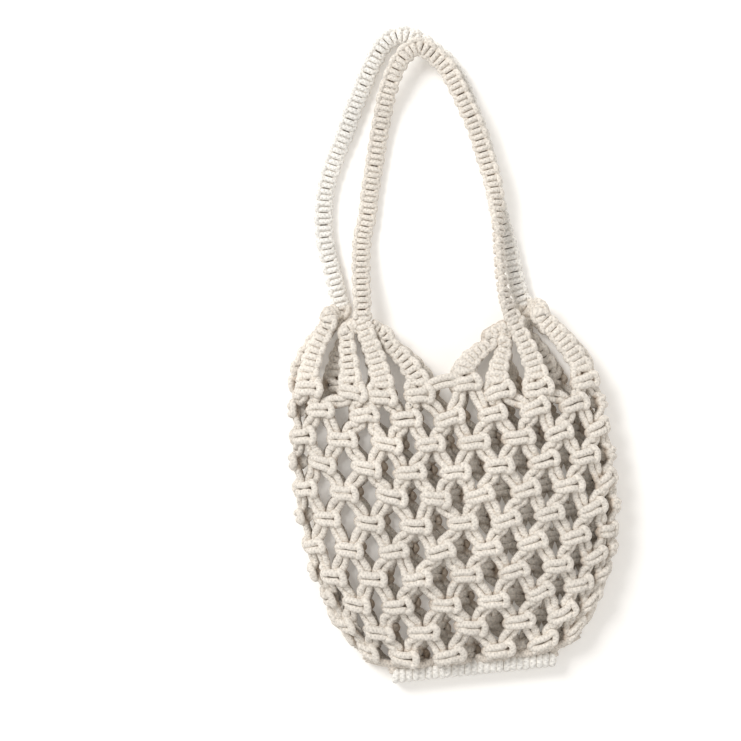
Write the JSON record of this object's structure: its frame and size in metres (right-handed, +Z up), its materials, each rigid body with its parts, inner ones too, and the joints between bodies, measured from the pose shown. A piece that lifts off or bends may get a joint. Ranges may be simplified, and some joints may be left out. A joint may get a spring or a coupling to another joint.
{
  "type": "macramé shoulder bag",
  "caption": "Open-net macramé shoulder bag of thick cream cotton cord, lying flat, with two knotted handles laid in an arch.",
  "frame": {"origin": "centre of the bounding box's base, on the floor under the middle of the lying bag", "axes": "+Y from the bottom seam to the top of the handles, +Z up from the back face to the front face"},
  "size_m": [0.281, 0.5618, 0.05],
  "materials": {
    "net_cord": "matte",
    "seam_cord": "matte",
    "handle_cord_front": "matte",
    "handle_cord_back": "matte",
    "sinnet_cord": "matte"
  },
  "bodies": {
    "root": {"net_body": "net_cord", "bottom_seam": "seam_cord", "handle_front": "handle_cord_front", "handle_back": "handle_cord_back", "sinnet_front_1": "sinnet_cord", "sinnet_front_2": "sinnet_cord", "sinnet_front_3": "sinnet_cord", "sinnet_front_4": "sinnet_cord", "sinnet_front_5": "sinnet_cord", "sinnet_front_6": "sinnet_cord", "sinnet_front_7": "sinnet_cord", "sinnet_front_8": "sinnet_cord", "sinnet_back_1": "sinnet_cord", "sinnet_back_2": "sinnet_cord", "sinnet_back_3": "sinnet_cord", "sinnet_back_4": "sinnet_cord", "sinnet_back_5": "sinnet_cord", "sinnet_back_6": "sinnet_cord", "sinnet_back_7": "sinnet_cord", "sinnet_back_8": "sinnet_cord"}
  },
  "joints": []
}
